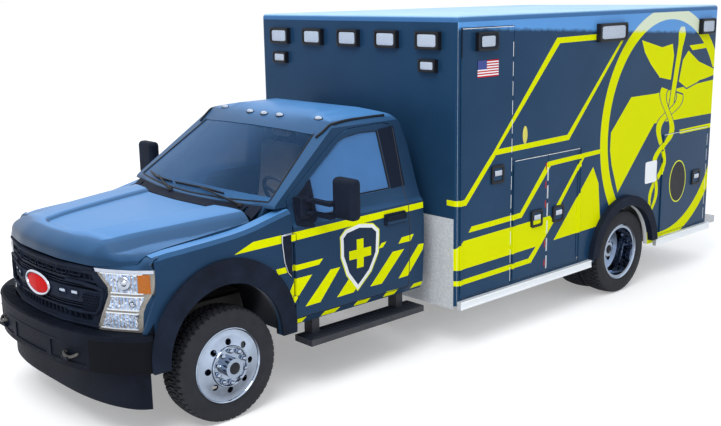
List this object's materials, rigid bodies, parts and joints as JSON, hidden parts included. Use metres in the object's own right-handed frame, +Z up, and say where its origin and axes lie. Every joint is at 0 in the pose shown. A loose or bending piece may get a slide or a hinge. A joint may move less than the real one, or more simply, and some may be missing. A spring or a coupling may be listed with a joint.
{
  "type": "ambulance",
  "caption": "Ambulance: two-door medium truck cab with a hinged hood, a hollow box module with lockers and doors, and dual rear wheels.",
  "frame": {"origin": "on the ground under the middle of the whole vehicle", "axes": "+Z up, the front towards -Y, the left side towards +X"},
  "size_m": [2.79, 7.125, 2.6649],
  "materials": {
    "body_paint": "gloss",
    "module_paint": "gloss",
    "roof_paint": "gloss",
    "black_trim": "textured",
    "frame_black": "satin",
    "tyre_rubber": "matte",
    "wheel_chrome": "polished",
    "window_glass": "clear",
    "lamp_lens": "clear",
    "light_lens": "gloss",
    "bright_sheet": "satin",
    "white_rail": "satin",
    "cast_metal": "matte",
    "exhaust_steel": "satin",
    "cabin_plastic": "textured",
    "seat_cloth": "matte",
    "bench_vinyl": "satin",
    "interior_white": "satin"
  },
  "bodies": {
    "vehicle": {"chassis_frame": "frame_black", "axles": "cast_metal", "engine_block": "cast_metal", "exhaust": "exhaust_steel", "fuel_tank": "frame_black", "cab_shell": "body_paint", "cab_glass": "window_glass", "cowl_panel": "black_trim", "front_fenders": "body_paint", "wheel_flares": "black_trim", "front_bumper": "black_trim", "grille": "black_trim", "headlights": "lamp_lens", "running_boards": "black_trim", "dashboard": "cabin_plastic", "seat_bases": "cabin_plastic", "seat_left": "seat_cloth", "seat_right": "seat_cloth", "module_left_wall": "module_paint", "module_right_wall": "module_paint", "module_end_walls": "module_paint", "module_roof": "roof_paint", "module_floor": "bright_sheet", "lockers_left": "bright_sheet", "lockers_right": "bright_sheet", "patient_bench": "bench_vinyl", "patient_cabinets": "interior_white", "rear_step": "bright_sheet", "rub_rails": "white_rail", "warning_lights": "light_lens"},
    "knuckle_left": {"knuckle_left": "cast_metal"},
    "knuckle_right": {"knuckle_right": "cast_metal"},
    "front_wheel_left": {"front_tyre_left": "tyre_rubber", "front_rim_left": "wheel_chrome"},
    "front_wheel_right": {"front_tyre_right": "tyre_rubber", "front_rim_right": "wheel_chrome"},
    "rear_wheels_left": {"rear_tyres_left": "tyre_rubber", "rear_rims_left": "wheel_chrome"},
    "rear_wheels_right": {"rear_tyres_right": "tyre_rubber", "rear_rims_right": "wheel_chrome"},
    "cab_door_left": {"cab_door_left": "body_paint", "cab_door_glass_left": "window_glass", "mirror_left": "black_trim"},
    "cab_door_right": {"cab_door_right": "body_paint", "cab_door_glass_right": "window_glass", "mirror_right": "black_trim"},
    "hood": {"hood": "body_paint"},
    "front_locker_door_left": {"front_locker_door_left": "module_paint"},
    "mid_locker_door_front": {"mid_locker_door_front": "module_paint"},
    "mid_locker_door_rear": {"mid_locker_door_rear": "module_paint"},
    "rear_locker_door_left": {"rear_locker_door_left": "module_paint"},
    "front_locker_door_right": {"front_locker_door_right": "module_paint"},
    "rear_locker_door_right": {"rear_locker_door_right": "module_paint"},
    "entry_door": {"entry_door": "module_paint", "entry_door_glass": "window_glass"},
    "rear_door_left": {"rear_door_left": "module_paint", "rear_door_glass_left": "window_glass"},
    "rear_door_right": {"rear_door_right": "module_paint", "rear_door_glass_right": "window_glass"}
  },
  "joints": [
    {"name": "steer_left", "type": "hinge", "parent": "vehicle", "child": "knuckle_left", "pos_m": [0.69, -2.6225, 0.398], "axis": [0, 0, 1], "range_deg": [-33, 33]},
    {"name": "front_wheel_left_spin", "type": "hinge", "parent": "knuckle_left", "child": "front_wheel_left", "pos_m": [0.88, -2.6225, 0.398], "axis": [1, 0, 0], "continuous": true},
    {"name": "rear_wheels_left_spin", "type": "hinge", "parent": "vehicle", "child": "rear_wheels_left", "pos_m": [0.955, 1.7575, 0.398], "axis": [1, 0, 0], "continuous": true},
    {"name": "cab_door_left_hinge", "type": "hinge", "parent": "vehicle", "child": "cab_door_left", "pos_m": [0.99, -2.0225, 0.95], "axis": [0, 0, -1], "range_deg": [0, 70]},
    {"name": "steer_right", "type": "hinge", "parent": "vehicle", "child": "knuckle_right", "pos_m": [-0.69, -2.6225, 0.398], "axis": [0, 0, 1], "range_deg": [-33, 33]},
    {"name": "front_wheel_right_spin", "type": "hinge", "parent": "knuckle_right", "child": "front_wheel_right", "pos_m": [-0.88, -2.6225, 0.398], "axis": [1, 0, 0], "continuous": true},
    {"name": "rear_wheels_right_spin", "type": "hinge", "parent": "vehicle", "child": "rear_wheels_right", "pos_m": [-0.955, 1.7575, 0.398], "axis": [1, 0, 0], "continuous": true},
    {"name": "cab_door_right_hinge", "type": "hinge", "parent": "vehicle", "child": "cab_door_right", "pos_m": [-0.99, -2.0225, 0.95], "axis": [0, 0, 1], "range_deg": [0, 70]},
    {"name": "hood_hinge", "type": "hinge", "parent": "vehicle", "child": "hood", "pos_m": [0, -2.2225, 1.34], "axis": [-1, 0, 0], "range_deg": [0, 45]},
    {"name": "front_locker_door_left_hinge", "type": "hinge", "parent": "vehicle", "child": "front_locker_door_left", "pos_m": [1.2135, -0.5375, 1], "axis": [0, 0, -1], "range_deg": [0, 100]},
    {"name": "mid_locker_door_front_hinge", "type": "hinge", "parent": "vehicle", "child": "mid_locker_door_front", "pos_m": [1.2135, 0.1145, 1], "axis": [0, 0, -1], "range_deg": [0, 100]},
    {"name": "mid_locker_door_rear_hinge", "type": "hinge", "parent": "vehicle", "child": "mid_locker_door_rear", "pos_m": [1.2135, 1.0445, 1], "axis": [0, 0, 1], "range_deg": [0, 100]},
    {"name": "rear_locker_door_left_hinge", "type": "hinge", "parent": "vehicle", "child": "rear_locker_door_left", "pos_m": [1.2135, 2.4075, 1], "axis": [0, 0, -1], "range_deg": [0, 100]},
    {"name": "front_locker_door_right_hinge", "type": "hinge", "parent": "vehicle", "child": "front_locker_door_right", "pos_m": [-1.2135, -0.5375, 1], "axis": [0, 0, 1], "range_deg": [0, 100]},
    {"name": "rear_locker_door_right_hinge", "type": "hinge", "parent": "vehicle", "child": "rear_locker_door_right", "pos_m": [-1.2135, 2.4075, 1], "axis": [0, 0, 1], "range_deg": [0, 100]},
    {"name": "entry_door_hinge", "type": "hinge", "parent": "vehicle", "child": "entry_door", "pos_m": [-1.2135, 0.1375, 1], "axis": [0, 0, 1], "range_deg": [0, 100]},
    {"name": "rear_door_left_hinge", "type": "hinge", "parent": "vehicle", "child": "rear_door_left", "pos_m": [0.59, 3.3445, 1.6], "axis": [0, 0, -1], "range_deg": [0, 150]},
    {"name": "rear_door_right_hinge", "type": "hinge", "parent": "vehicle", "child": "rear_door_right", "pos_m": [-0.59, 3.3445, 1.6], "axis": [0, 0, 1], "range_deg": [0, 150]}
  ],
  "couplings": [
    {"joint": "steer_right", "follows": "steer_left", "ratio": 1}
  ]
}
